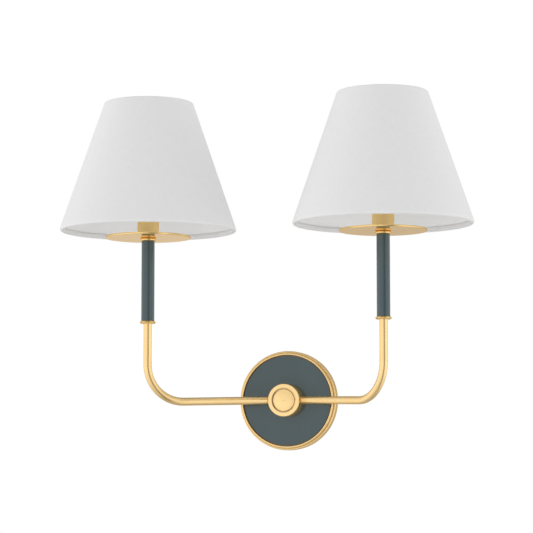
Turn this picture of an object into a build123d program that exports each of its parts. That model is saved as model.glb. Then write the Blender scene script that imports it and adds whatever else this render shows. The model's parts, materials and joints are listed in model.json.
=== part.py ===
from build123d import *
import math
import os

# A two-light wall sconce: a round backplate with a slate face, a brass hub, two swept brass arms
# that turn up into slate-sleeved stems, and a tapered fabric shade over each candle socket.
# Millimetres. The wall is the plane Y = 0, the room is on its -Y side, +Z is up and the
# origin is the backplate's centre on the wall. Depths run out from the wall, heights run
# up from the hub's axis.

# Clearances
FIT_GAP = 0.05            # radial gap of a piece pushed or screwed into another
SLIP_GAP = 0.4            # radial gap of a piece that lifts or turns over another

# Backplate
PLATE_RADIUS = 63.0
PLATE_RIM_DEPTH = 12.4    # side wall with its rounded edge
PLATE_RIM_ROUND = 1.5
PLATE_SHELL = 1.5         # thickness of the spun shell
RIM_GROOVE_WIDTH = 0.9    # turned groove between rim and bead
RIM_GROOVE_DEPTH = 0.8
BEAD_RADIUS = 1.4         # section of the bead round the face
BEAD_INSET = 2.5          # outside of the bead in from the side wall
BEAD_STAND = 1.9          # top of the bead above the face
FACE_DEPTH = 14.0         # front of the slate face
FACE_THICKNESS = 1.7
FACE_GAP = 0.6            # open line between the face and the bead

# Crossbar behind the backplate
CROSSBAR_WIDTH = 16.0
CROSSBAR_THICKNESS = 2.0
CROSSBAR_EAR_DEPTH = 7.0
CROSSBAR_EDGE_GAP = 0.6   # corner of an ear to the inside of the backplate
CROSSBAR_HOLE_RADIUS = 6.0
BOX_SCREW_SPACING = 88.9
BOX_SLOT_WIDTH = 5.0
BOX_SLOT_LENGTH = 12.0
SET_SCREW_RADIUS = 2.0
SET_SCREW_DEPTH = 3.2
SET_SCREW_SINK = 0.3      # outer end below the side wall
SET_SCREW_SLOT = 0.7
GROUND_SCREW_RADIUS = 2.0
GROUND_SCREW_HEIGHT = 22.0
GROUND_HEAD_ACROSS = 7.0
GROUND_HEAD_HEIGHT = 2.4

# Hub
HUB_RADIUS = 20.7
HUB_FRONT_DEPTH = 32.0
HUB_ROUND = 0.9
HUB_BACK_WALL = 4.0
HUB_CAVITY_RADIUS = 13.0
HUB_RING_WIDTH = 4.9      # flat ring round the cap
HUB_CAP_SEAT = 5.0        # depth of the recess that takes the cap
HUB_CAP_FLANGE = 2.4
HUB_CAP_GROOVE = 2.3      # open groove between ring and cap
HUB_CAP_EDGE = 4.4        # height of the cap's side above the seat
HUB_CAP_DOME = 1.1        # rise of the cap's crown
HUB_LINE_RADIUS = 12.0    # turned line on the crown
HUB_LINE_WIDTH = 0.5
HUB_LINE_DEPTH = 0.35

# Threaded nipple that clamps hub, face and backplate together
NIPPLE_RADIUS = 5.0
NIPPLE_BORE = 3.5
NIPPLE_TAIL = 1.2         # thread that shows behind the nut
NUT_ACROSS = 14.0
NUT_THICKNESS = 3.5
WASHER_RADIUS = 9.0
WASHER_THICKNESS = 1.0

# Arms and their leads
STEM_HALF_SPACING = 150.0
STEM_REACH = 124.0        # stem axis out from the wall
ARM_EXIT_DEPTH = 23.7     # arm axis where it leaves the side of the hub
ARM_INSET = 6.8           # tube inside the hub
ARM_DROOP = 1.4           # degrees that an arm falls on its way out
ARM_BEND_RADIUS = 46.0
TUBE_RADIUS = 5.0
TUBE_WALL = 1.2
LEAD_RADIUS = 2.0
LEAD_WAY_GAP = 0.5
LEAD_TAIL = 3.0           # lead past the tube's end, inside the hub

# Stem pieces, stacked upwards
RING_NOSE = 0.5           # rounding of the sharp edge of a collar or neck
COLLAR_HEIGHT_UP = 93.3   # underside of the collar
COLLAR_HEIGHT = 3.5
COLLAR_RADIUS = 10.4      # to the sharp edge before it is rounded
COLLAR_FOOT_RADIUS = 8.4
SLEEVE_LENGTH = 100.0
SLEEVE_RADIUS = 8.15
SLEEVE_EDGE = 0.4
NECK_HEIGHT = 3.3
NECK_RADIUS = 9.9
NECK_FOOT_RADIUS = 8.4
DISC_RADIUS = 53.5
DISC_THICKNESS = 2.5
DISC_EDGE = 0.5           # rounding of the disc's edge
CUP_RADIUS = 13.5
CUP_HEIGHT = 32.6
CUP_WALL = 1.0
CUP_FLOOR = 1.2
CUP_ROUND = 2.0
CUP_LIP = 1.0             # rolled rim outside the cup's wall
STEM_THREAD = 4.0         # tube inside the socket's foot

# Candle socket
SOCKET_SKIRT = 12.0       # threaded skirt above the cup
SOCKET_WELL = 19.0        # depth of the well that takes the lamp
SOCKET_MOUTH = 0.8
SHELL_RADIUS = 7.2
SHELL_WALL = 0.9
SHELL_RECESS = 1.0        # top of the shell below the mouth
CONTACT_RADIUS = 3.0
CONTACT_THICKNESS = 1.5

# Lamp
LAMP_BASE_RADIUS = 5.95
LAMP_BASE_LENGTH = 18.0
LAMP_TIP_RADIUS = 2.2
LAMP_TIP_LENGTH = 3.0
LAMP_GLASS_RADIUS = 9.5
LAMP_GLASS_LENGTH = 62.0
LAMP_GLASS_WALL = 0.8
LAMP_SHOULDER = 8.0

# Shade
SHADE_BOTTOM_RADIUS = 111.0
SHADE_TOP_RADIUS = 55.5
SHADE_HEIGHT = 162.0
SHADE_SEAT = 26.6         # fitter ring above the shade's lower edge
FABRIC_THICKNESS = 0.7
LINER_THICKNESS = 0.7
LOWER_WRAP = 260.0        # degrees that the cover turns round the lower wire
UPPER_WRAP = 180.0        # less at the upper wire, clear of the spider's arms
RING_WIRE_RADIUS = 1.4
RING_WIRE_GAP = 0.4       # cover and arms to the hoops' wire
SPIDER_WIRE_RADIUS = 1.25
SPIDER_ARMS = 3
SPIDER_TURN = 90.0        # direction of the first spider arm, towards the wall
SPIDER_FLAT = 8.0         # level run of a spider arm before it climbs
SPIDER_KNEE_RADIUS = 6.0
FITTER_WIDTH = 4.0
FITTER_THICKNESS = 1.5
RETAINER_WIDTH = 3.6
RETAINER_HEIGHT = 4.8
RETAINER_KNURLS = 24
RETAINER_KNURL_RADIUS = 0.6

SIDES = {"left": -1, "right": 1}

# Levels and radii that follow from the sizes above
plate_inside = PLATE_RADIUS - PLATE_SHELL
bead_outside = PLATE_RADIUS - BEAD_INSET
bead_middle = bead_outside - BEAD_RADIUS
face_recess = bead_middle - BEAD_RADIUS
bead_depth = FACE_DEPTH + BEAD_STAND - BEAD_RADIUS
floor_front = FACE_DEPTH - FACE_THICKNESS
floor_back = floor_front - PLATE_SHELL

hub_seat_depth = HUB_FRONT_DEPTH - HUB_CAP_SEAT
hub_cavity_floor = FACE_DEPTH + HUB_BACK_WALL
hub_recess = HUB_RADIUS - HUB_RING_WIDTH

collar_top = COLLAR_HEIGHT_UP + COLLAR_HEIGHT
sleeve_top = collar_top + SLEEVE_LENGTH
neck_top = sleeve_top + NECK_HEIGHT
disc_top = neck_top + DISC_THICKNESS
cup_top = disc_top + CUP_HEIGHT
stem_nut_seat = disc_top + CUP_FLOOR
socket_foot = stem_nut_seat + NUT_THICKNESS
stem_top = socket_foot + STEM_THREAD
socket_top = cup_top + SOCKET_SKIRT
socket_radius = CUP_RADIUS - CUP_WALL - FIT_GAP
well_floor = socket_top - SOCKET_WELL
lamp_foot = well_floor + CONTACT_THICKNESS
lamp_shoulder = lamp_foot + LAMP_BASE_LENGTH

shade_bottom = cup_top - SHADE_SEAT
shade_slope = math.atan2(SHADE_BOTTOM_RADIUS - SHADE_TOP_RADIUS, SHADE_HEIGHT)
roll_inside = RING_WIRE_RADIUS + RING_WIRE_GAP
roll_outside = roll_inside + FABRIC_THICKNESS
lower_wire = roll_outside * (1 + math.sin(shade_slope)) / math.cos(shade_slope)
upper_wire = (SHADE_HEIGHT - roll_outside * (1 - math.sin(shade_slope))) / math.cos(shade_slope)
fitter_bore = socket_radius + SLIP_GAP
fitter_rim = fitter_bore + FITTER_WIDTH
fitter_top = cup_top + FITTER_THICKNESS

arm_run = STEM_HALF_SPACING - HUB_RADIUS
arm_sweep = math.atan2(STEM_REACH - ARM_EXIT_DEPTH, arm_run)
arm_droop = math.radians(ARM_DROOP)
arm_drop = math.hypot(arm_run, STEM_REACH - ARM_EXIT_DEPTH) * math.tan(arm_droop)


def at(radius, height):
    """Point of a turned outline: its radius and its place along the axis."""
    return (radius, 0, height)


def turned(*edges):
    """Solid turned about the Z axis from the edges that close round half of its section."""
    return revolve(make_face(list(edges)), Axis.Z)


def turned_outline(*points):
    """Solid turned about the Z axis from a straight-sided half section."""
    corners = [at(radius, height) for radius, height in points]
    return turned(Polyline(*corners, close=True))


def tube(outer, inner, low, high):
    """Plain round tube on the Z axis."""
    return turned_outline((inner, low), (outer, low), (outer, high), (inner, high))


def hex_nut(across, bore, low, thickness):
    """Hexagonal nut on the Z axis."""
    blank = extrude(RegularPolygon(across / 2, 6, major_radius=False), thickness)
    drill = Cylinder(bore, thickness, align=(Align.CENTER, Align.CENTER, Align.MIN))
    return Pos(0, 0, low) * (blank - drill)


def on_wall(piece):
    """Turns a piece modelled along Z so that it stands out from the wall."""
    return Rot(90, 0, 0) * piece


def on_stem(side, piece):
    """Puts a piece modelled on the Z axis on one stem."""
    return Pos(side * STEM_HALF_SPACING, -STEM_REACH, 0) * piece


# Backplate and what is behind it

def backplate():
    """Spun shell: side wall with a rounded rim, a turned groove and the bead that holds the face."""
    rim_top = PLATE_RIM_DEPTH - PLATE_RIM_ROUND
    rim_shoulder = PLATE_RADIUS - PLATE_RIM_ROUND
    half_way = PLATE_RIM_ROUND * math.sqrt(0.5)
    groove_outside = bead_outside + RIM_GROOVE_WIDTH
    groove_floor = PLATE_RIM_DEPTH - RIM_GROOVE_DEPTH
    bore = NIPPLE_RADIUS + FIT_GAP
    shell = turned(
        Line(at(plate_inside, 0), at(PLATE_RADIUS, 0)),
        Line(at(PLATE_RADIUS, 0), at(PLATE_RADIUS, rim_top)),
        ThreePointArc(
            at(PLATE_RADIUS, rim_top),
            at(rim_shoulder + half_way, rim_top + half_way),
            at(rim_shoulder, PLATE_RIM_DEPTH),
        ),
        Polyline(
            at(rim_shoulder, PLATE_RIM_DEPTH),
            at(groove_outside, PLATE_RIM_DEPTH),
            at(groove_outside, groove_floor),
            at(bead_outside, groove_floor),
            at(bead_outside, bead_depth),
        ),
        ThreePointArc(
            at(bead_outside, bead_depth),
            at(bead_middle, bead_depth + BEAD_RADIUS),
            at(face_recess, bead_depth),
        ),
        Polyline(
            at(face_recess, bead_depth),
            at(face_recess, floor_front),
            at(bore, floor_front),
            at(bore, floor_back),
            at(plate_inside, floor_back),
            at(plate_inside, 0),
        ),
    )
    screw_hole = Cylinder(SET_SCREW_RADIUS + FIT_GAP, 2 * PLATE_RADIUS, rotation=(90, 0, 0))
    screw_holes = Pos(0, 0, SET_SCREW_DEPTH) * screw_hole
    inside = Cylinder(plate_inside, 2 * PLATE_RIM_DEPTH)
    return on_wall(shell - (screw_holes - inside))


def backplate_face():
    return on_wall(tube(face_recess - FACE_GAP, NIPPLE_RADIUS + FIT_GAP, floor_front, FACE_DEPTH))


def crossbar_reach():
    """Outer face of an ear, from the middle of the bar."""
    corner = plate_inside - CROSSBAR_EDGE_GAP
    return math.sqrt(corner ** 2 - (CROSSBAR_WIDTH / 2) ** 2)


def mounting_crossbar():
    reach = crossbar_reach()
    bottom = (Align.CENTER, Align.CENTER, Align.MIN)
    bar = Box(CROSSBAR_WIDTH, 2 * reach, CROSSBAR_THICKNESS, align=bottom)
    ear = Box(CROSSBAR_WIDTH, CROSSBAR_THICKNESS, CROSSBAR_EAR_DEPTH, align=bottom)
    tap = Cylinder(SET_SCREW_RADIUS + FIT_GAP, CROSSBAR_THICKNESS, rotation=(90, 0, 0))
    slot = extrude(SlotOverall(BOX_SLOT_LENGTH, BOX_SLOT_WIDTH, rotation=90), CROSSBAR_THICKNESS)
    centre = Cylinder(CROSSBAR_HOLE_RADIUS, CROSSBAR_THICKNESS, align=bottom)
    ground = Cylinder(GROUND_SCREW_RADIUS + FIT_GAP, CROSSBAR_THICKNESS, align=bottom)
    for end in (-1, 1):
        ear_middle = end * (reach - CROSSBAR_THICKNESS / 2)
        bar += Pos(0, ear_middle, 0) * ear
        bar -= Pos(0, ear_middle, SET_SCREW_DEPTH) * tap
        bar -= Pos(0, end * BOX_SCREW_SPACING / 2, 0) * slot
    bar -= centre
    bar -= Pos(0, GROUND_SCREW_HEIGHT, 0) * ground
    return on_wall(bar)


def backplate_set_screws():
    """Two slotted grub screws that hold the backplate on the crossbar's ears."""
    outer_end = PLATE_RADIUS - SET_SCREW_SINK
    length = outer_end - crossbar_reach() + CROSSBAR_THICKNESS
    screw = Cylinder(SET_SCREW_RADIUS, length, align=(Align.CENTER, Align.CENTER, Align.MAX))
    slot = Box(2 * SET_SCREW_RADIUS, SET_SCREW_SLOT, 2 * SET_SCREW_SLOT)
    upper = Pos(0, -SET_SCREW_DEPTH, outer_end) * (screw - slot)
    return Compound(children=[upper, mirror(upper, Plane.XY)])


def ground_screw():
    shank = Cylinder(
        GROUND_SCREW_RADIUS, CROSSBAR_THICKNESS, align=(Align.CENTER, Align.CENTER, Align.MIN)
    )
    head = extrude(RegularPolygon(GROUND_HEAD_ACROSS / 2, 6, major_radius=False), GROUND_HEAD_HEIGHT)
    screw = shank + Pos(0, 0, CROSSBAR_THICKNESS) * head
    return on_wall(Pos(0, GROUND_SCREW_HEIGHT, 0) * screw)


# Hub and its clamp

def arm_direction(side):
    """Direction of an arm, outwards from the hub and slightly down."""
    level = math.cos(arm_droop)
    return Vector(side * math.cos(arm_sweep) * level, -math.sin(arm_sweep) * level, -math.sin(arm_droop))


def arm_root(side):
    """Middle of the tube's end inside the hub."""
    leave = Vector(side * HUB_RADIUS, -ARM_EXIT_DEPTH, 0)
    return leave - arm_direction(side) * ARM_INSET


def hub_body():
    bore = NIPPLE_RADIUS + FIT_GAP
    shoulder = HUB_FRONT_DEPTH - HUB_ROUND
    half_way = HUB_ROUND * math.sqrt(0.5)
    ring_edge = HUB_RADIUS - HUB_ROUND
    blank = turned(
        Line(at(bore, FACE_DEPTH), at(HUB_RADIUS, FACE_DEPTH)),
        Line(at(HUB_RADIUS, FACE_DEPTH), at(HUB_RADIUS, shoulder)),
        ThreePointArc(
            at(HUB_RADIUS, shoulder),
            at(ring_edge + half_way, shoulder + half_way),
            at(ring_edge, HUB_FRONT_DEPTH),
        ),
        Polyline(
            at(ring_edge, HUB_FRONT_DEPTH),
            at(hub_recess, HUB_FRONT_DEPTH),
            at(hub_recess, hub_seat_depth),
            at(HUB_CAVITY_RADIUS, hub_seat_depth),
            at(HUB_CAVITY_RADIUS, hub_cavity_floor),
            at(bore, hub_cavity_floor),
            at(bore, FACE_DEPTH),
        ),
    )
    body = on_wall(blank)
    away = (Align.CENTER, Align.CENTER, Align.MIN)
    for side in SIDES.values():
        outward = Plane(origin=arm_root(side), z_dir=arm_direction(side))
        inward = Plane(origin=arm_root(side), z_dir=-arm_direction(side))
        body -= outward * Cylinder(TUBE_RADIUS + FIT_GAP, 2 * HUB_RADIUS, align=away)
        body -= inward * Cylinder(LEAD_RADIUS + LEAD_WAY_GAP, LEAD_TAIL + LEAD_RADIUS, align=away)
    return body


def hub_cap():
    seat = hub_recess - FIT_GAP
    crown = hub_recess - HUB_CAP_GROOVE
    flange_top = hub_seat_depth + HUB_CAP_FLANGE
    edge_top = hub_seat_depth + HUB_CAP_EDGE
    dome_radius = (crown ** 2 + HUB_CAP_DOME ** 2) / (2 * HUB_CAP_DOME)
    half_dome = edge_top + HUB_CAP_DOME - dome_radius + math.sqrt(dome_radius ** 2 - crown ** 2 / 4)
    cap = turned(
        Polyline(
            at(0, edge_top + HUB_CAP_DOME),
            at(0, hub_seat_depth),
            at(seat, hub_seat_depth),
            at(seat, flange_top),
            at(crown, flange_top),
            at(crown, edge_top),
        ),
        ThreePointArc(
            at(crown, edge_top),
            at(crown / 2, half_dome),
            at(0, edge_top + HUB_CAP_DOME),
        ),
    )
    line_height = edge_top + HUB_CAP_DOME - dome_radius + math.sqrt(dome_radius ** 2 - HUB_LINE_RADIUS ** 2)
    line = tube(
        HUB_LINE_RADIUS + HUB_LINE_WIDTH / 2,
        HUB_LINE_RADIUS - HUB_LINE_WIDTH / 2,
        line_height - HUB_LINE_DEPTH,
        line_height + HUB_CAP_DOME,
    )
    return on_wall(cap - line)


def hub_nipple():
    tail = floor_back - WASHER_THICKNESS - NUT_THICKNESS - NIPPLE_TAIL
    return on_wall(tube(NIPPLE_RADIUS, NIPPLE_BORE, tail, hub_cavity_floor))


def hub_washer():
    low = floor_back - WASHER_THICKNESS
    return on_wall(tube(WASHER_RADIUS, NIPPLE_RADIUS + FIT_GAP, low, floor_back))


def hub_nut():
    low = floor_back - WASHER_THICKNESS - NUT_THICKNESS
    return on_wall(hex_nut(NUT_ACROSS, NIPPLE_RADIUS + FIT_GAP, low, NUT_THICKNESS))


# Arms

def arm_path(side, start, top):
    """Centre line of an arm: straight out of the hub, one bend, and straight up the stem."""
    outward = arm_direction(side)
    upward = Vector(0, 0, 1)
    corner = Vector(side * STEM_HALF_SPACING, -STEM_REACH, -arm_drop)
    half_turn = (math.pi / 2 + arm_droop) / 2
    tangent = ARM_BEND_RADIUS * math.tan(half_turn)
    bend_start = corner - outward * tangent
    bend_end = corner + upward * tangent
    to_centre = (upward - outward).normalized()
    bend_middle = corner + to_centre * ARM_BEND_RADIUS * (1 / math.cos(half_turn) - 1)
    return Wire([
        Edge.make_line(start, bend_start),
        Edge.make_three_point_arc(bend_start, bend_middle, bend_end),
        Edge.make_line(bend_end, corner + upward * (arm_drop + top)),
    ])


def arm_tube(side):
    start = arm_root(side)
    section = Circle(TUBE_RADIUS) - Circle(TUBE_RADIUS - TUBE_WALL)
    return sweep(Plane(origin=start, z_dir=arm_direction(side)) * section, arm_path(side, start, stem_top))


def arm_lead(side):
    start = arm_root(side) - arm_direction(side) * LEAD_TAIL
    section = Circle(LEAD_RADIUS)
    return sweep(Plane(origin=start, z_dir=arm_direction(side)) * section, arm_path(side, start, stem_top))


# Stem pieces

stem_bore = TUBE_RADIUS + FIT_GAP


def edged_ring(low, high, foot, widest):
    """Ring on the stem between two levels, whose slanting sides meet in a rounded edge."""
    ring = turned_outline(
        (stem_bore, low),
        (foot, low),
        (widest, (low + high) / 2),
        (foot, high),
        (stem_bore, high),
    )
    outer_edge = ring.edges().filter_by(GeomType.CIRCLE).sort_by(SortBy.RADIUS)[-1]
    return fillet(outer_edge, RING_NOSE)


def collar():
    """Edged ring that carries the sleeve."""
    return edged_ring(COLLAR_HEIGHT_UP, collar_top, COLLAR_FOOT_RADIUS, COLLAR_RADIUS)


def stem_sleeve():
    return turned_outline(
        (stem_bore, collar_top),
        (SLEEVE_RADIUS - SLEEVE_EDGE, collar_top),
        (SLEEVE_RADIUS, collar_top + SLEEVE_EDGE),
        (SLEEVE_RADIUS, sleeve_top - SLEEVE_EDGE),
        (SLEEVE_RADIUS - SLEEVE_EDGE, sleeve_top),
        (stem_bore, sleeve_top),
    )


def neck_ring():
    """Edged ring between the sleeve and the disc."""
    return edged_ring(sleeve_top, neck_top, NECK_FOOT_RADIUS, NECK_RADIUS)


def glare_disc():
    """Flat disc under the lamp, with both corners of its edge rounded."""
    edge = DISC_RADIUS - DISC_EDGE
    half_way = DISC_EDGE * math.sqrt(0.5)
    low = neck_top + DISC_EDGE
    high = disc_top - DISC_EDGE
    return turned(
        Line(at(stem_bore, neck_top), at(edge, neck_top)),
        ThreePointArc(at(edge, neck_top), at(edge + half_way, low - half_way), at(DISC_RADIUS, low)),
        Line(at(DISC_RADIUS, low), at(DISC_RADIUS, high)),
        ThreePointArc(at(DISC_RADIUS, high), at(edge + half_way, high + half_way), at(edge, disc_top)),
        Line(at(edge, disc_top), at(stem_bore, disc_top)),
        Line(at(stem_bore, disc_top), at(stem_bore, neck_top)),
    )


def socket_cup():
    inside = CUP_RADIUS - CUP_WALL
    half_way = CUP_ROUND * (1 - math.sqrt(0.5))
    lip_middle = cup_top - CUP_LIP
    return turned(
        Line(at(stem_bore, disc_top), at(CUP_RADIUS - CUP_ROUND, disc_top)),
        ThreePointArc(
            at(CUP_RADIUS - CUP_ROUND, disc_top),
            at(CUP_RADIUS - half_way, disc_top + half_way),
            at(CUP_RADIUS, disc_top + CUP_ROUND),
        ),
        Line(at(CUP_RADIUS, disc_top + CUP_ROUND), at(CUP_RADIUS, lip_middle - CUP_LIP)),
        ThreePointArc(
            at(CUP_RADIUS, lip_middle - CUP_LIP),
            at(CUP_RADIUS + CUP_LIP, lip_middle),
            at(CUP_RADIUS, cup_top),
        ),
        Polyline(
            at(CUP_RADIUS, cup_top),
            at(inside, cup_top),
            at(inside, stem_nut_seat),
            at(stem_bore, stem_nut_seat),
            at(stem_bore, disc_top),
        ),
    )


def stem_nut():
    return hex_nut(NUT_ACROSS, stem_bore, stem_nut_seat, NUT_THICKNESS)


# Candle socket and lamp

def socket_body():
    well = SHELL_RADIUS + FIT_GAP
    return turned_outline(
        (0, stem_top),
        (stem_bore, stem_top),
        (stem_bore, socket_foot),
        (socket_radius, socket_foot),
        (socket_radius, socket_top - SOCKET_MOUTH),
        (socket_radius - SOCKET_MOUTH, socket_top),
        (well + SOCKET_MOUTH, socket_top),
        (well, socket_top - SOCKET_MOUTH),
        (well, well_floor),
        (0, well_floor),
    )


def screw_shell():
    return tube(SHELL_RADIUS, SHELL_RADIUS - SHELL_WALL, well_floor, socket_top - SHELL_RECESS)


def centre_contact():
    contact = Cylinder(CONTACT_RADIUS, CONTACT_THICKNESS, align=(Align.CENTER, Align.CENTER, Align.MIN))
    return Pos(0, 0, well_floor) * contact


def lamp_base():
    return turned_outline(
        (0, lamp_foot),
        (LAMP_TIP_RADIUS, lamp_foot),
        (LAMP_BASE_RADIUS, lamp_foot + LAMP_TIP_LENGTH),
        (LAMP_BASE_RADIUS, lamp_shoulder),
        (0, lamp_shoulder),
    )


def lamp_outline(wall):
    """Edges of half a tubular lamp glass, set in by a wall thickness."""
    neck = LAMP_BASE_RADIUS - wall
    body = LAMP_GLASS_RADIUS - wall
    low = lamp_shoulder + wall
    side_low = lamp_shoulder + LAMP_SHOULDER
    side_high = lamp_shoulder + LAMP_GLASS_LENGTH - LAMP_GLASS_RADIUS
    diagonal = body * math.sqrt(0.5)
    return [
        Line(at(0, low), at(neck, low)),
        Line(at(neck, low), at(body, side_low)),
        Line(at(body, side_low), at(body, side_high)),
        ThreePointArc(
            at(body, side_high),
            at(diagonal, side_high + diagonal),
            at(0, side_high + body),
        ),
        Line(at(0, side_high + body), at(0, low)),
    ]


def lamp_glass():
    return turned(*lamp_outline(0)) - turned(*lamp_outline(LAMP_GLASS_WALL))


# Shade

def on_shade(along, inset):
    """Point of the shade's section: up the slant from its lower edge, and in from its skin."""
    radius = SHADE_BOTTOM_RADIUS - math.sin(shade_slope) * along - math.cos(shade_slope) * inset
    height = shade_bottom + math.cos(shade_slope) * along - math.sin(shade_slope) * inset
    return at(radius, height)


def round_wire(wire, way, turn, reach):
    """Point round a hem's wire: a turn from the skin over the edge, up (1) or down (-1)."""
    angle = math.radians(turn)
    return on_shade(wire + way * reach * math.sin(angle), roll_outside - reach * math.cos(angle))


def hem(wire, way, turn):
    """Edges of the cover's turn round a wire, from its outside to its inside."""
    return [
        ThreePointArc(*[round_wire(wire, way, part * turn, roll_outside) for part in (0, 0.5, 1)]),
        Line(round_wire(wire, way, turn, roll_outside), round_wire(wire, way, turn, roll_inside)),
        ThreePointArc(*[round_wire(wire, way, part * turn, roll_inside) for part in (1, 0.5, 0)]),
    ]


def shade_fabric():
    """Cover stretched between the two wires and turned round each of them."""
    return turned(
        Line(on_shade(lower_wire, 0), on_shade(upper_wire, 0)),
        *hem(upper_wire, 1, UPPER_WRAP),
        Line(on_shade(upper_wire, FABRIC_THICKNESS), on_shade(lower_wire, FABRIC_THICKNESS)),
        *hem(lower_wire, -1, LOWER_WRAP),
    )


def shade_liner():
    """Stiff sheet behind the cover, which ends at the wires."""
    low = lower_wire + roll_inside
    high = upper_wire - roll_inside
    back = FABRIC_THICKNESS + LINER_THICKNESS
    return turned(Polyline(
        on_shade(low, FABRIC_THICKNESS),
        on_shade(high, FABRIC_THICKNESS),
        on_shade(high, back),
        on_shade(low, back),
        close=True,
    ))


def wire_hoop(wire, thickness):
    """Round hoop in the turn of a hem."""
    radius, _, height = on_shade(wire, roll_outside)
    return Pos(0, 0, height) * Torus(radius, thickness)


def shade_fitter():
    """Flat ring that rests on the socket cup."""
    return tube(fitter_rim, fitter_bore, cup_top, fitter_top)


def shade_spider():
    """Wire arms that climb from the fitter ring to the upper hoop, with saddled ends."""
    flat_height = fitter_top - SPIDER_WIRE_RADIUS
    start = at(fitter_rim + FIT_GAP, flat_height)
    knee = at(fitter_rim + SPIDER_FLAT, flat_height)
    path = FilletPolyline(start, knee, on_shade(upper_wire, roll_outside), radius=SPIDER_KNEE_RADIUS)
    wire = sweep(Plane(origin=start, z_dir=(1, 0, 0)) * Circle(SPIDER_WIRE_RADIUS), path)
    arm = wire - wire_hoop(upper_wire, roll_inside)
    turns = [SPIDER_TURN + index * 360 / SPIDER_ARMS for index in range(SPIDER_ARMS)]
    return Compound(children=[Rot(0, 0, turn) * arm for turn in turns])


def shade_retainer():
    """Knurled ring that screws down on the fitter ring."""
    rim = fitter_bore + RETAINER_WIDTH
    ring = tube(rim, fitter_bore, fitter_top, fitter_top + RETAINER_HEIGHT)
    groove = Pos(0, 0, fitter_top + RETAINER_HEIGHT / 2) * Cylinder(RETAINER_KNURL_RADIUS, 2 * RETAINER_HEIGHT)
    return ring - PolarLocations(rim, RETAINER_KNURLS) * groove


CENTRE_PIECES = {
    "backplate": backplate,
    "backplate_face": backplate_face,
    "mounting_crossbar": mounting_crossbar,
    "backplate_set_screws": backplate_set_screws,
    "ground_screw": ground_screw,
    "hub_body": hub_body,
    "hub_cap": hub_cap,
    "hub_nipple": hub_nipple,
    "hub_washer": hub_washer,
    "hub_nut": hub_nut,
}

ARM_PIECES = {
    "arm_tube": arm_tube,
    "arm_lead": arm_lead,
}

STEM_PIECES = {
    "collar": collar,
    "stem_sleeve": stem_sleeve,
    "neck_ring": neck_ring,
    "glare_disc": glare_disc,
    "socket_cup": socket_cup,
    "stem_nut": stem_nut,
    "socket_body": socket_body,
    "screw_shell": screw_shell,
    "centre_contact": centre_contact,
    "lamp_base": lamp_base,
    "lamp_glass": lamp_glass,
    "shade_fabric": shade_fabric,
    "shade_liner": shade_liner,
    "shade_bottom_ring": lambda: wire_hoop(lower_wire, RING_WIRE_RADIUS),
    "shade_top_ring": lambda: wire_hoop(upper_wire, RING_WIRE_RADIUS),
    "shade_fitter": shade_fitter,
    "shade_spider": shade_spider,
    "shade_retainer": shade_retainer,
}


def save(name, piece):
    export_step(piece, os.path.join("parts", name + ".step"))


os.makedirs("parts", exist_ok=True)
for name, make in CENTRE_PIECES.items():
    save(name, make())
for side_name, side in SIDES.items():
    for name, make in ARM_PIECES.items():
        save(side_name + "_" + name, make(side))
    for name, make in STEM_PIECES.items():
        save(side_name + "_" + name, on_stem(side, make()))
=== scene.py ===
"""Looks of a two-light wall sconce: satin brass, slate paint and white cloth shades in a white studio."""
import json
import math

import bmesh
import bpy
from mathutils import Matrix, Vector


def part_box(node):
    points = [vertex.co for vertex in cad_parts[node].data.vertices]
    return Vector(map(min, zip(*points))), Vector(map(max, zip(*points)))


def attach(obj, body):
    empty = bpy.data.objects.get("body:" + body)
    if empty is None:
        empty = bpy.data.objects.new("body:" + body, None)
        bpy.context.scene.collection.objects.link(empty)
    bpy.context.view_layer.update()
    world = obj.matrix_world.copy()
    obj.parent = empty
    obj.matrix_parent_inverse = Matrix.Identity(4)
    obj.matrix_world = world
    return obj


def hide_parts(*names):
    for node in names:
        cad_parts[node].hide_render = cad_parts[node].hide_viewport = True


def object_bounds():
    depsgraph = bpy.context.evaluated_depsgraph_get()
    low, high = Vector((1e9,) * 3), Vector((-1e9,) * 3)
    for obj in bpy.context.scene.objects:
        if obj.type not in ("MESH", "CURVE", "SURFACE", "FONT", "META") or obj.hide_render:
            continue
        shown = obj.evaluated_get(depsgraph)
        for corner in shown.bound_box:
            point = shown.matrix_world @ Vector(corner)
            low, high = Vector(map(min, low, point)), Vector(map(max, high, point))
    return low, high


SIDES = ("left", "right")

# Camera, in metres and degrees, with its lens and sensor in millimetres
CAMERA_PLACE = (0.6865, -2.5541, -0.0775)
CAMERA_YAW = 15.699
CAMERA_PITCH = 5.398
CAMERA_LENS = 139.57
SENSOR_WIDTH = 36.0
SIGHT_END = 50.0

# Studio, whose room is a brightness shared out by direction
FLOOR_RADIUS = 1.0
FLOOR_DROP = 1.70
FLOOR_SIDES = 96
FILL_WATTS = 0.055        # daylight that comes through the cloth of a shade
FILL_RADIUS = 0.04
ROOM_BRIGHTNESS = 1.47
WALL_SEEN = 1.0           # brightness that the camera itself sees behind the light

# Shares of the brightness over a turn, from behind the light round by its left
ROOM_ROUND = [
    (0.0, 0.54), (0.05, 0.44), (0.09, 0.40), (0.18, 0.94), (0.33, 0.93),
    (0.465, 0.88), (0.512, 0.38), (0.546, 0.0), (0.580, 0.42), (0.62, 0.98),
    (0.70, 1.0), (0.83, 1.0), (0.91, 0.30), (0.955, 0.34), (1.0, 0.46),
]

# Shares of the brightness from straight below to straight overhead
ROOM_HEIGHT = [(0.0, 0.42), (0.18, 0.74), (0.42, 1.0), (0.5, 0.98), (0.65, 0.84), (0.86, 0.52), (1.0, 0.42)]

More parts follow.
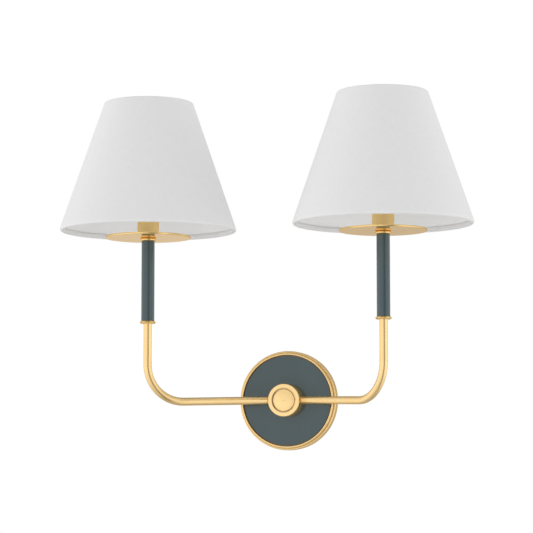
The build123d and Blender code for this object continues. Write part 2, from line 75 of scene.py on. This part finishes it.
# Shade cloth
CLOTH_THICKNESS = 0.0007
LOWER_WRAP = 220.0        # degrees of cloth round the lower wire
HEM_TAIL = 0.0035         # cloth past the lower wire, down to the liner
UPPER_WRAP = 180.0
HEM_STEPS = 14
SLANT_CUTS = 27
COVER_STEPS = 180
SEAM_WIDTH = 0.011
SEAM_THICKNESS = 0.0004
SEAM_COLUMNS = 4
SEAM_ROWS = 40
SEAM_DIRECTION = 90.0     # the lap seam faces the wall

# Turned brass rings
TURN_STEPS = 144
MERGE_DISTANCE = 1e-6
SHARP_ANGLE = 30.0        # degrees past which an edge of a turned ring stays crisp
BEAD_SIDES = 36
COVE_WIDTH = 0.0022       # sloped floor of the groove round the hub's cap
COVE_LIP = 0.0004
COVE_SLOPE = 26.0
COVE_HEIGHT = 0.0026

# Brass, with tones and roughnesses by place on a ramp
BRASS_METAL = 0.74        # the rest is light scattered by the satin grain under the lacquer
BRASS_EDGE = (1.0, 0.80, 0.48, 1.0)
BRASS_TONES = [(0.30, (0.87, 0.620, 0.288)), (0.70, (0.90, 0.650, 0.312))]
STEM_TONES = [(0.30, (0.89, 0.625, 0.258)), (0.70, (0.92, 0.655, 0.282))]
# painted shade: darker brass tones for the groove round the hub's cap, where shade falls
GROOVE_SHADE_TONES = [(0.30, (0.68, 0.485, 0.225)), (0.70, (0.72, 0.520, 0.248))]
BRASS_GLOSS = [(0.25, 0.10), (0.75, 0.13)]
BRASS_BUMP = 0.02
LATHE_LINES = 2600.0      # scales of the patterns, as features in a metre
LATHE_DEPTH = 0.00004
HANDLING_MARKS = 38.0
TUBE_GRAIN = 1800.0
TUBE_DEPTH = 0.00003
TUBE_PATCHES = 30.0

# Painted shade and reflection on the backplate: dark lines in its corner beside the slate face and in its
# groove
CORNER_SHADE_OUTWARD = 0.0002      # corner line, past the edge of the slate face
CORNER_SHADE_REACH = 0.0011
CORNER_SHADE_TONES = [(0.45, (0.24, 0.18, 0.09)), (1.0, 1.0)]
RIM_SHADE_INSET = 0.00205  # fainter line in the turned groove, in from the side wall
RIM_SHADE_REACH = 0.0006
RIM_SHADE_TONES = [(0.45, (0.60, 0.53, 0.40)), (1.0, 1.0)]

# Cloth finish, where a plain number on a ramp is a grey
CLOTH_TONES = [(0.35, 0.90), (0.65, 0.94)]
CLOTH_SURFACE = {"Roughness": 0.9, "Sheen_Weight": 0.15, "Sheen_Roughness": 0.6}
THREADS = 1500.0          # threads in a metre
THREAD_BUMP = 0.35
THREAD_DEPTH = 0.00010
YARN_STRETCH = 0.06       # how little the yarn's unevenness changes along a thread
HEM_DEPTH = 0.013         # cloth turned in at the lower hem, where the doubled layers pass no light
# painted shade on the turned-in hem, where the doubled cloth lets no light through
HEM_SHADE_TONES = [(0.12, 0.98), (0.38, 0.90), (0.80, 0.88)]

# Finishes with an even grain: two tones and roughnesses, grains and patches of tone in a metre, and the bump
GRAIN_STOPS = (0.3, 0.7)
GRAINED_FINISHES = {
    "slate_paint": dict(tones=((0.045, 0.078, 0.086), (0.049, 0.084, 0.092)), gloss=(0.10, 0.15),
                        grain=900.0, patches=25.0, strength=0.015, depth=0.00003, Specular_IOR_Level=0.58),
    "zinc_steel": dict(tones=((0.50, 0.51, 0.53), (0.60, 0.61, 0.62)), gloss=(0.25, 0.42),
                       grain=1400.0, patches=120.0, strength=0.10, depth=0.00003, Metallic=1.0),
    "ground_green": dict(tones=((0.03, 0.20, 0.07), (0.05, 0.27, 0.10)), gloss=(0.30, 0.42),
                         grain=1200.0, patches=150.0, strength=0.10, depth=0.00003, Metallic=0.6),
    "contact_brass": dict(tones=((0.76, 0.56, 0.26), (0.82, 0.64, 0.34)), gloss=(0.28, 0.42),
                          grain=1500.0, patches=140.0, strength=0.10, depth=0.00003, Metallic=1.0),
    "phenolic": dict(tones=((0.76, 0.73, 0.66), (0.80, 0.78, 0.71)), gloss=(0.35, 0.48),
                     grain=1100.0, patches=60.0, strength=0.12, depth=0.00005),
    "lead_sleeve": dict(tones=((0.68, 0.66, 0.60), (0.72, 0.70, 0.65)), gloss=(0.42, 0.52),
                        grain=1000.0, patches=60.0, strength=0.10, depth=0.00005),
    "shade_liner": dict(tones=((0.915, 0.93, 0.945), (0.935, 0.95, 0.965)), gloss=(0.45, 0.58),
                        grain=700.0, patches=30.0, strength=0.12, depth=0.00008),
    "frame_wire": dict(tones=(0.76, 0.82), gloss=(0.38, 0.50),
                       grain=1600.0, patches=90.0, strength=0.20, depth=0.00006),
    "lamp_cap": dict(tones=((0.70, 0.70, 0.69), (0.78, 0.78, 0.77)), gloss=(0.22, 0.36),
                     grain=1500.0, patches=120.0, strength=0.10, depth=0.00003, Metallic=1.0),
    "lamp_glass": dict(tones=(0.90, 0.94), gloss=(0.42, 0.55),
                       grain=1300.0, patches=60.0, strength=0.15, depth=0.00004,
                       Transmission_Weight=0.55, IOR=1.46),
}
FLOOR_PAPER = dict(tones=(0.80, 0.82), gloss=(0.80, 0.90),
                   grain=200.0, patches=3.0, strength=0.05, depth=0.0002)

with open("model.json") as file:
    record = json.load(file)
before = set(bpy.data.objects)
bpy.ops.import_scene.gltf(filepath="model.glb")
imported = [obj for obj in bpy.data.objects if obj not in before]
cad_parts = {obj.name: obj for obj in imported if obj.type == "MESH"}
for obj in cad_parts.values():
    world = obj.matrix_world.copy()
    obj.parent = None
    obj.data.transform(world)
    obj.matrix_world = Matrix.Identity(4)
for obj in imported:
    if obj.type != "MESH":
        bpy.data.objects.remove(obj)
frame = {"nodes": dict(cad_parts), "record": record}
cad_low, cad_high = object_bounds()
nodes = frame["nodes"]


# Places read from the frame

def half_width(node):
    low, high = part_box(node)
    return (high.x - low.x) / 2


def stem_axis(side):
    low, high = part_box(side + "_stem_sleeve")
    return Vector(((low.x + high.x) / 2, (low.y + high.y) / 2, 0.0))


# Node helpers

def add(tree, kind, **settings):
    node = tree.nodes.new(kind)
    for name, value in settings.items():
        setattr(node, name, value)
    return node


def link(tree, source, target):
    tree.links.new(source, target)


def feed(tree, node, values):
    """Feeds a node's inputs in order from sockets or plain numbers; gives its output socket."""
    for socket, value in zip(node.inputs, values):
        if isinstance(value, bpy.types.NodeSocket):
            link(tree, value, socket)
        else:
            socket.default_value = value
    return node.outputs[0]


def math_node(tree, operation, *values):
    return feed(tree, add(tree, "ShaderNodeMath", operation=operation), values)


def vector_product(tree, *values):
    return feed(tree, add(tree, "ShaderNodeVectorMath", operation="MULTIPLY"), values)


def ramp(tree, factor, stops, interpolation="EASE"):
    """Colour ramp of (place, colour) stops, where a plain number is a grey; gives its output socket."""
    node = add(tree, "ShaderNodeValToRGB")
    node.color_ramp.interpolation = interpolation
    elements = node.color_ramp.elements
    while len(elements) < len(stops):
        elements.new(0.5)
    for element, (position, colour) in zip(elements, stops):
        element.position = position
        tone = colour if isinstance(colour, tuple) else (colour, colour, colour)
        element.color = (*tone, 1.0)
    link(tree, factor, node.inputs[0])
    return node.outputs[0]


def noise(tree, vector, scale, detail=2.0, roughness=0.5):
    node = add(tree, "ShaderNodeTexNoise")
    node.inputs["Detail"].default_value = detail
    node.inputs["Roughness"].default_value = roughness
    link(tree, vector, node.inputs["Vector"])
    link(tree, scale, node.inputs["Scale"])
    return node.outputs["Fac"]


def new_group(name, inputs, outputs):
    """Shader node group with float or vector sockets; gives the tree, its input and its output node."""
    tree = bpy.data.node_groups.new(name, "ShaderNodeTree")
    for socket, kind in inputs.items():
        tree.interface.new_socket(socket, in_out="INPUT", socket_type=kind)
    for socket, kind in outputs.items():
        tree.interface.new_socket(socket, in_out="OUTPUT", socket_type=kind)
    return tree, add(tree, "NodeGroupInput"), add(tree, "NodeGroupOutput")


# Shared effects

def turned_lines_group():
    """Fine lines left by the lathe round the Z axis, and broad handling marks."""
    tree, start, end = new_group(
        "turned_lines",
        {"Vector": "NodeSocketVector", "Lines": "NodeSocketFloat", "Marks": "NodeSocketFloat"},
        {"Lines": "NodeSocketFloat", "Marks": "NodeSocketFloat", "Radius": "NodeSocketFloat"},
    )
    vector = start.outputs["Vector"]
    parts = add(tree, "ShaderNodeSeparateXYZ")
    link(tree, vector, parts.inputs[0])
    square_x = math_node(tree, "MULTIPLY", parts.outputs["X"], parts.outputs["X"])
    square_y = math_node(tree, "MULTIPLY", parts.outputs["Y"], parts.outputs["Y"])
    radius = math_node(tree, "SQRT", math_node(tree, "ADD", square_x, square_y))
    section = add(tree, "ShaderNodeCombineXYZ")
    link(tree, radius, section.inputs["X"])
    link(tree, parts.outputs["Z"], section.inputs["Z"])
    lines = noise(tree, section.outputs[0], start.outputs["Lines"], detail=3.0, roughness=0.6)
    marks = noise(tree, vector, start.outputs["Marks"], detail=3.0)
    link(tree, lines, end.inputs["Lines"])
    link(tree, marks, end.inputs["Marks"])
    link(tree, radius, end.inputs["Radius"])
    return tree


def fine_grain_group():
    """Even grain of a satin, painted or moulded surface, and slow patches of tone."""
    tree, start, end = new_group(
        "fine_grain",
        {"Vector": "NodeSocketVector", "Grain": "NodeSocketFloat", "Patches": "NodeSocketFloat"},
        {"Grain": "NodeSocketFloat", "Patches": "NodeSocketFloat"},
    )
    vector = start.outputs["Vector"]
    link(tree, noise(tree, vector, start.outputs["Grain"]), end.inputs["Grain"])
    link(tree, noise(tree, vector, start.outputs["Patches"], detail=3.0), end.inputs["Patches"])
    return tree


def plain_weave_group():
    """Over-and-under threads with uneven yarn, on flat cloth coordinates in metres."""
    tree, start, end = new_group(
        "plain_weave",
        {"Cloth": "NodeSocketVector", "Threads": "NodeSocketFloat"},
        {"Height": "NodeSocketFloat", "Yarn": "NodeSocketFloat"},
    )
    cloth = start.outputs["Cloth"]
    threads = start.outputs["Threads"]
    parts = add(tree, "ShaderNodeSeparateXYZ")
    link(tree, cloth, parts.inputs[0])
    turns = math_node(tree, "MULTIPLY", threads, math.pi)
    phases = [math_node(tree, "MULTIPLY", parts.outputs[axis], turns) for axis in "XY"]
    over_under = math_node(tree, "MULTIPLY", *[math_node(tree, "SINE", phase) for phase in phases])
    stretches = ((1.0, YARN_STRETCH, 1.0), (YARN_STRETCH, 1.0, 1.0))
    yarns = [noise(tree, vector_product(tree, cloth, stretch), threads) for stretch in stretches]
    uneven = math_node(tree, "ADD", *yarns)
    half = math_node(tree, "MULTIPLY", over_under, 0.5)
    link(tree, math_node(tree, "ADD", half, uneven), end.inputs["Height"])
    link(tree, math_node(tree, "MULTIPLY", uneven, 0.5), end.inputs["Yarn"])
    return tree


TURNED_LINES = turned_lines_group()
FINE_GRAIN = fine_grain_group()
PLAIN_WEAVE = plain_weave_group()


# Finishes

def new_material(name, **sockets):
    """Material with a Principled shader, whose even values are set on its own sockets."""
    material = bpy.data.materials.new(name)
    material.use_nodes = True
    tree = material.node_tree
    shader = tree.nodes["Principled BSDF"]
    for socket, value in sockets.items():
        shader.inputs[socket.replace("_", " ")].default_value = value
    return material, tree, shader


def place_effect(effect, tree, vector, vector_name="Vector", **values):
    """Puts a shared effect in a material and gives its outputs."""
    node = add(tree, "ShaderNodeGroup", node_tree=effect)
    link(tree, vector, node.inputs[vector_name])
    for socket, value in values.items():
        node.inputs[socket].default_value = value
    return node.outputs


def axis_vector(tree, centre=(0.0, 0.0, 0.0), wall_axis=False):
    """Object coordinates moved so that a turned piece's axis is Z through the origin."""
    source = add(tree, "ShaderNodeTexCoord")
    mapping = add(tree, "ShaderNodeMapping")
    mapping.inputs["Location"].default_value = [-value for value in centre]
    if wall_axis:
        mapping.inputs["Rotation"].default_value = (math.radians(90.0), 0.0, 0.0)
    link(tree, source.outputs["Object"], mapping.inputs["Vector"])
    return mapping.outputs["Vector"]


def bump(tree, shader, height, strength, distance):
    node = add(tree, "ShaderNodeBump")
    node.inputs["Strength"].default_value = strength
    node.inputs["Distance"].default_value = distance
    link(tree, height, node.inputs["Height"])
    link(tree, node.outputs["Normal"], shader.inputs["Normal"])


def painted_shade_line(tree, colour, radius, middle, reach, tones):
    """Paints shade into the brass beside one radius of the backplate."""
    away = math_node(tree, "ABSOLUTE", math_node(tree, "SUBTRACT", radius, middle))
    share = math_node(tree, "DIVIDE", away, reach)
    return vector_product(tree, colour, ramp(tree, share, tones))


def turned_brass(name, centre=(0.0, 0.0, 0.0), wall_axis=False, tones=BRASS_TONES):
    """Satin brass with lathe lines and soft handling marks; on the wall's axis also with painted shade lines
    in the corner and the groove.
    """
    material, tree, shader = new_material(name, Metallic=BRASS_METAL, Specular_Tint=BRASS_EDGE)
    vector = axis_vector(tree, centre, wall_axis)
    lines = place_effect(TURNED_LINES, tree, vector, Lines=LATHE_LINES, Marks=HANDLING_MARKS)
    colour = ramp(tree, lines["Marks"], tones)
    if wall_axis:
        # painted shade: dark lines at the corner beside the slate face and in the rim's groove
        corner = half_width("backplate_face") + CORNER_SHADE_OUTWARD
        groove = half_width("backplate") - RIM_SHADE_INSET
        colour = painted_shade_line(tree, colour, lines["Radius"], corner, CORNER_SHADE_REACH, CORNER_SHADE_TONES)
        colour = painted_shade_line(tree, colour, lines["Radius"], groove, RIM_SHADE_REACH, RIM_SHADE_TONES)
    link(tree, colour, shader.inputs["Base Color"])
    link(tree, ramp(tree, lines["Lines"], BRASS_GLOSS), shader.inputs["Roughness"])
    bump(tree, shader, lines["Lines"], BRASS_BUMP, LATHE_DEPTH)
    return material


def drawn_brass(name):
    """Satin brass tube, lacquered over an even fine grain."""
    material, tree, shader = new_material(name, Metallic=BRASS_METAL, Specular_Tint=BRASS_EDGE)
    pattern = place_effect(FINE_GRAIN, tree, axis_vector(tree), Grain=TUBE_GRAIN, Patches=TUBE_PATCHES)
    link(tree, ramp(tree, pattern["Patches"], BRASS_TONES), shader.inputs["Base Color"])
    link(tree, ramp(tree, pattern["Grain"], BRASS_GLOSS), shader.inputs["Roughness"])
    bump(tree, shader, pattern["Grain"], BRASS_BUMP, TUBE_DEPTH)
    return material


def grained(name, tones, gloss, grain, patches, strength, depth, **sockets):
    """Painted, moulded or plated finish: two tones, two roughnesses and an even grain."""
    material, tree, shader = new_material(name, **sockets)
    pattern = place_effect(FINE_GRAIN, tree, axis_vector(tree), Grain=grain, Patches=patches)
    tone_stops = list(zip(GRAIN_STOPS, tones))
    gloss_stops = list(zip(GRAIN_STOPS, gloss))
    link(tree, ramp(tree, pattern["Patches"], tone_stops), shader.inputs["Base Color"])
    link(tree, ramp(tree, pattern["Grain"], gloss_stops), shader.inputs["Roughness"])
    bump(tree, shader, pattern["Grain"], strength, depth)
    return material


def shade_cloth(name):
    """White linen-like cloth with fine uneven yarn, and painted shade where the lower hem is turned in."""
    material, tree, shader = new_material(name, **CLOTH_SURFACE)
    flat = add(tree, "ShaderNodeUVMap", uv_map="cloth")
    weave = place_effect(PLAIN_WEAVE, tree, flat.outputs[0], "Cloth", Threads=THREADS)
    reach = add(tree, "ShaderNodeAttribute", attribute_name="along")
    # painted shade: the turned-in hem is darkened
    turned_in = math_node(tree, "MULTIPLY", reach.outputs["Fac"], -1.0 / HEM_DEPTH)
    yarn_tone = ramp(tree, weave["Yarn"], CLOTH_TONES)
    hem_shade = ramp(tree, turned_in, HEM_SHADE_TONES)
    link(tree, vector_product(tree, yarn_tone, hem_shade), shader.inputs["Base Color"])
    bump(tree, shader, weave["Height"], THREAD_BUMP, THREAD_DEPTH)
    return material


def make_finishes():
    """One material for each finish of the light, by its slot or, where it follows an axis, by its pieces."""
    finishes = {name: grained(name, **values) for name, values in GRAINED_FINISHES.items()}
    finishes["drawn_brass"] = drawn_brass("drawn_brass")
    finishes["wall_brass"] = turned_brass("wall_brass", wall_axis=True)
    finishes["shaded_groove_brass"] = turned_brass("shaded_groove_brass", wall_axis=True, tones=GROOVE_SHADE_TONES)
    finishes["shade_fabric"] = shade_cloth("shade_cloth")
    for side in SIDES:
        finishes[side + "_brass"] = turned_brass(side + "_brass", stem_axis(side), tones=STEM_TONES)
    return finishes


def finish_of(node, slot):
    """Name of the finish of a node, from its material slot."""
    if slot != "brass":
        return slot
    if node.endswith("arm_tube"):
        return "drawn_brass"
    return node.split("_")[0] + "_brass" if node.startswith(SIDES) else "wall_brass"


def dress_nodes(finishes):
    for part in frame["record"]["subparts"]:
        node = part["node"]
        nodes[node].material_slots[0].material = finishes[finish_of(node, part["material_slot"])]


# Making of new pieces

def finished_piece(name, bm, material, body):
    """Object from a bmesh, at the origin, that rides on a body."""
    mesh = bpy.data.meshes.new(name)
    bm.to_mesh(mesh)
    bm.free()
    mesh.materials.append(material)
    piece = bpy.data.objects.new(name, mesh)
    bpy.context.scene.collection.objects.link(piece)
    for polygon in mesh.polygons:
        polygon.use_smooth = True
    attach(piece, body)
    return piece


def thicken(piece, name, thickness):
    """Gives a sheet its wall, inwards from its outer face."""
    wall = piece.modifiers.new(name, "SOLIDIFY")
    wall.thickness = thickness
    wall.offset = -1.0


def turn_whole(bm, steps, axis=(0.0, 0.0, 1.0)):
    """Turns a profile once round an axis through the origin, and closes the ring."""
    bmesh.ops.spin(bm, geom=bm.verts[:] + bm.edges[:], cent=(0.0, 0.0, 0.0), axis=axis, angle=math.tau,
                   steps=steps, use_merge=True)
    bmesh.ops.remove_doubles(bm, verts=bm.verts[:], dist=MERGE_DISTANCE)
    bmesh.ops.recalc_face_normals(bm, faces=bm.faces[:])
    for edge in bm.edges:
        edge.smooth = edge.calc_face_angle(0.0) < math.radians(SHARP_ANGLE)


# Turned rings

def neck_bead(side, material):
    """Round bead between the sleeve and the disc."""
    ring = side + "_neck_ring"
    low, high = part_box(ring)
    half = (high.z - low.z) / 2
    bm = bmesh.new()
    bmesh.ops.create_circle(bm, segments=BEAD_SIDES, radius=half)
    bmesh.ops.rotate(bm, verts=bm.verts[:], matrix=Matrix.Rotation(math.radians(90.0), 3, "X"))
    bmesh.ops.translate(bm, verts=bm.verts[:], vec=(half_width(ring) - half, 0.0, low.z + half))
    turn_whole(bm, TURN_STEPS)
    bmesh.ops.translate(bm, verts=bm.verts[:], vec=stem_axis(side))
    bead = finished_piece(side + "_neck_bead", bm, material, "fixture")
    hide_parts(ring)


def hub_cove(material):
    """Sloped floor of the groove between the hub's ring and its cap."""
    ring_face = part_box("hub_body")[0].y
    fall = COVE_WIDTH * math.tan(math.radians(COVE_SLOPE))
    bm = bmesh.new()
    tip = bm.verts.new((half_width("hub_cap"), ring_face + COVE_LIP, 0.0))
    corner = tip
    for outward, back in ((-COVE_WIDTH, fall), (0.0, COVE_HEIGHT - COVE_LIP - fall), (COVE_WIDTH, 0.0)):
        corner = bmesh.ops.extrude_vert_indiv(bm, verts=[corner])["verts"][0]
        bmesh.ops.translate(bm, verts=[corner], vec=(outward, back, 0.0))
    bm.edges.new((corner, tip))
    turn_whole(bm, TURN_STEPS, axis=(0.0, 1.0, 0.0))
    finished_piece("hub_cove", bm, material, "fixture")


# Shades

def wire_middle(node):
    """Radius and height of the middle of a hoop's wire."""
    low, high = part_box(node)
    wire = (high.z - low.z) / 2
    return Vector((half_width(node) - wire, 0.0, (high.z + low.z) / 2))


class ShadeForm:
    """Section of one shade, read from its hoops: a slant, and the turn of the hems."""

    def __init__(self, side):
        self.axis = stem_axis(side)
        self.lower = wire_middle(side + "_shade_bottom_ring")
        self.upper = wire_middle(side + "_shade_top_ring")
        low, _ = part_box(side + "_shade_fabric")
        self.roll = self.lower.z - low.z
        self.up = (self.upper - self.lower).normalized()
        self.out = Vector((self.up.z, 0.0, -self.up.x))
        self.slant = (self.upper - self.lower).length
        self.skin_low = self.lower + self.out * self.roll
        self.taper = -self.up.x
        self.apex = self.skin_low.x / self.taper

    def skin(self, along):
        return self.skin_low + self.up * along


def wrap_wire(bm, start, wire, angle):
    """Takes the end of a profile round a wire; gives the new end."""
    turned = bmesh.ops.spin(bm, geom=start, cent=wire, axis=(0.0, 1.0, 0.0), angle=-math.radians(angle),
                            steps=HEM_STEPS, use_merge=False)
    return [item for item in turned["geom_last"] if isinstance(item, bmesh.types.BMVert)]


def extend(bm, start, reach):
    """Draws the end of a profile out in a straight line; gives the new end."""
    end = bmesh.ops.extrude_vert_indiv(bm, verts=start)["verts"]
    bmesh.ops.translate(bm, verts=end, vec=reach)
    return end


def cloth_profile(bm, form):
    """Chain of points from the tip of the lower hem, round its wire, up the slant and over the upper wire."""
    turn = math.radians(LOWER_WRAP)
    root = form.lower + form.roll * (math.cos(turn) * form.out - math.sin(turn) * form.up)
    tail = HEM_TAIL * (math.sin(turn) * form.out + math.cos(turn) * form.up)
    hem_root = extend(bm, [bm.verts.new(root - tail)], tail)
    slant_foot = wrap_wire(bm, hem_root, form.lower, LOWER_WRAP)
    slant_head = extend(bm, slant_foot, form.up * form.slant)
    wrap_wire(bm, slant_head, form.upper, UPPER_WRAP)
    longest = max(bm.edges, key=lambda edge: edge.calc_length())
    bmesh.ops.subdivide_edges(bm, edges=[longest], cuts=SLANT_CUTS)


def measure_cloth(bm, form, along):
    """Keeps on each point how far it lies along the cloth, from the foot of the slant."""
    ends = [vert for vert in bm.verts if len(vert.link_edges) == 1]
    point = min(ends, key=lambda vert: vert.co.z)
    reach = -form.roll * math.radians(LOWER_WRAP) - HEM_TAIL
    edge = None
    while point:
        point[along] = reach
        onward = [other for other in point.link_edges if other is not edge]
        edge = onward[0] if onward else None
        reach += edge.calc_length() if edge else 0.0
        point = edge.other_vert(point) if edge else None


def lay_flat(bm, form, along, flat):
    """Cloth coordinates in metres: the cone rolled out flat, cut open at the seam."""
    def from_seam(point):
        offset = point - form.axis
        return (math.atan2(offset.y, offset.x) - math.radians(SEAM_DIRECTION)) % math.tau - math.pi

    for face in bm.faces:
        middle = from_seam(face.calc_center_median())
        for loop in face.loops:
            angle = from_seam(loop.vert.co)
            angle += math.tau * round((middle - angle) / math.tau)
            spread = angle * form.taper
            reach = form.apex - loop.vert[along]
            loop[flat].uv = (reach * math.sin(spread), reach * math.cos(spread))


def shade_cover(side, form, material):
    """Cloth stretched between the hoops and turned round both of them."""
    bm = bmesh.new()
    along = bm.verts.layers.float.new("along")
    flat = bm.loops.layers.uv.new("cloth")
    cloth_profile(bm, form)
    measure_cloth(bm, form, along)
    turn_whole(bm, COVER_STEPS)
    bmesh.ops.translate(bm, verts=bm.verts[:], vec=form.axis)
    lay_flat(bm, form, along, flat)
    cover = finished_piece(side + "_shade_cover", bm, material, side + "_shade")
    thicken(cover, "cloth_thickness", CLOTH_THICKNESS)
    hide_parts(side + "_shade_fabric")
    return cover


def shade_seam(side, form, material):
    """Lap where the cover's two ends meet, on the wall's side."""
    bm = bmesh.new()
    flat = bm.loops.layers.uv.new("cloth")
    bmesh.ops.create_grid(bm, x_segments=SEAM_COLUMNS, y_segments=SEAM_ROWS, size=0.5)
    bmesh.ops.scale(bm, verts=bm.verts[:], vec=(SEAM_WIDTH, form.slant, 1.0))
    for face in bm.faces:
        for loop in face.loops:
            loop[flat].uv = loop.vert.co.xy
    for vert in bm.verts:
        skin = form.skin(vert.co.y + form.slant / 2) + form.out * SEAM_THICKNESS
        angle = math.radians(SEAM_DIRECTION) + vert.co.x / skin.x
        vert.co = form.axis + Vector((skin.x * math.cos(angle), skin.x * math.sin(angle), skin.z))
    bmesh.ops.recalc_face_normals(bm, faces=bm.faces[:])
    seam = finished_piece(side + "_shade_seam", bm, material, side + "_shade")
    thicken(seam, "lap_thickness", SEAM_THICKNESS)
    return seam


def dress_shade(side, material):
    """Cover and lap of one shade, and the size of its flat cut, which is worked out but not used."""
    form = ShadeForm(side)
    cover = shade_cover(side, form, material)
    seam = shade_seam(side, form, material)
    lower_radius = form.skin_low.x
    upper_radius = form.skin(form.slant).x
    hems = (form.roll * math.radians(LOWER_WRAP) + HEM_TAIL) * math.tau * lower_radius
    hems += form.roll * math.radians(UPPER_WRAP) * math.tau * upper_radius


# Studio

def make_camera():
    yaw, pitch = math.radians(CAMERA_YAW), math.radians(CAMERA_PITCH)
    ahead = Vector((-math.sin(yaw) * math.cos(pitch), math.cos(yaw) * math.cos(pitch), math.sin(pitch)))
    turn = ahead.to_track_quat("-Z", "Y").to_matrix().to_4x4()
    lens = bpy.data.cameras.new("studio_camera")
    lens.lens = CAMERA_LENS
    lens.sensor_width = SENSOR_WIDTH
    lens.clip_end = SIGHT_END
    camera = bpy.data.objects.new("studio_camera", lens)
    camera.matrix_world = Matrix.Translation(CAMERA_PLACE) @ turn
    bpy.context.scene.collection.objects.link(camera)
    bpy.context.scene.camera = camera


def make_floor():
    bm = bmesh.new()
    bmesh.ops.create_circle(bm, cap_ends=True, segments=FLOOR_SIDES, radius=FLOOR_RADIUS)
    bmesh.ops.translate(bm, verts=bm.verts[:], vec=(0.0, 0.0, cad_low.z - FLOOR_DROP))
    mesh = bpy.data.meshes.new("pale_floor")
    bm.to_mesh(mesh)
    bm.free()
    mesh.materials.append(grained("floor_paper", **FLOOR_PAPER))
    floor = bpy.data.objects.new("pale_floor", mesh)
    bpy.context.scene.collection.objects.link(floor)


def make_room():
    """White room: bright at both sides, with a dark strip beside the camera, dim behind, above and below."""
    world = bpy.data.worlds.new("white_studio")
    bpy.context.scene.world = world
    world.use_nodes = True
    tree = world.node_tree
    tree.nodes.clear()
    source = add(tree, "ShaderNodeTexCoord")
    facing = add(tree, "ShaderNodeMapping")
    facing.inputs["Rotation"].default_value = (0.0, 0.0, -math.radians(CAMERA_YAW))
    link(tree, source.outputs["Generated"], facing.inputs["Vector"])
    parts = add(tree, "ShaderNodeSeparateXYZ")
    link(tree, facing.outputs["Vector"], parts.inputs[0])
    towards = math_node(tree, "MULTIPLY", parts.outputs["Y"], -1.0)
    aside = math_node(tree, "ARCTAN2", parts.outputs["X"], towards)
    turn_share = math_node(tree, "MULTIPLY_ADD", aside, 0.5 / math.pi, 0.5)
    height_share = math_node(tree, "MULTIPLY_ADD", parts.outputs["Z"], 0.5, 0.5)
    round_about = ramp(tree, turn_share, ROOM_ROUND, "B_SPLINE")
    up_and_down = ramp(tree, height_share, ROOM_HEIGHT, "B_SPLINE")
    shares = math_node(tree, "MULTIPLY", round_about, up_and_down)
    room = math_node(tree, "MULTIPLY", shares, ROOM_BRIGHTNESS)
    sight = add(tree, "ShaderNodeLightPath")
    seen = add(tree, "ShaderNodeMix", data_type="FLOAT")
    link(tree, sight.outputs["Is Camera Ray"], seen.inputs["Factor"])
    link(tree, room, seen.inputs["A"])
    seen.inputs["B"].default_value = WALL_SEEN
    background = add(tree, "ShaderNodeBackground")
    background.inputs["Color"].default_value = (1.0, 1.0, 1.0, 1.0)
    link(tree, seen.outputs["Result"], background.inputs["Strength"])
    output = add(tree, "ShaderNodeOutputWorld")
    link(tree, background.outputs[0], output.inputs["Surface"])
    bpy.context.scene.view_settings.view_transform = "Standard"


def make_shade_fill(side):
    """Faint light in a shade, for the daylight that comes through its cloth."""
    low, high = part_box(side + "_lamp_glass")
    fill = bpy.data.lights.new(side + "_shade_fill", "POINT")
    fill.energy = FILL_WATTS
    fill.shadow_soft_size = FILL_RADIUS
    lamp = bpy.data.objects.new(side + "_shade_fill", fill)
    lamp.location = (low + high) / 2
    bpy.context.scene.collection.objects.link(lamp)


# The light and its studio

finishes = make_finishes()
dress_nodes(finishes)
# the groove's floor gets the darker brass with painted shade
hub_cove(finishes["shaded_groove_brass"])
for side in SIDES:
    neck_bead(side, finishes[side + "_brass"])
    dress_shade(side, finishes["shade_fabric"])
make_camera()
make_floor()
make_room()
for side in SIDES:
    make_shade_fill(side)
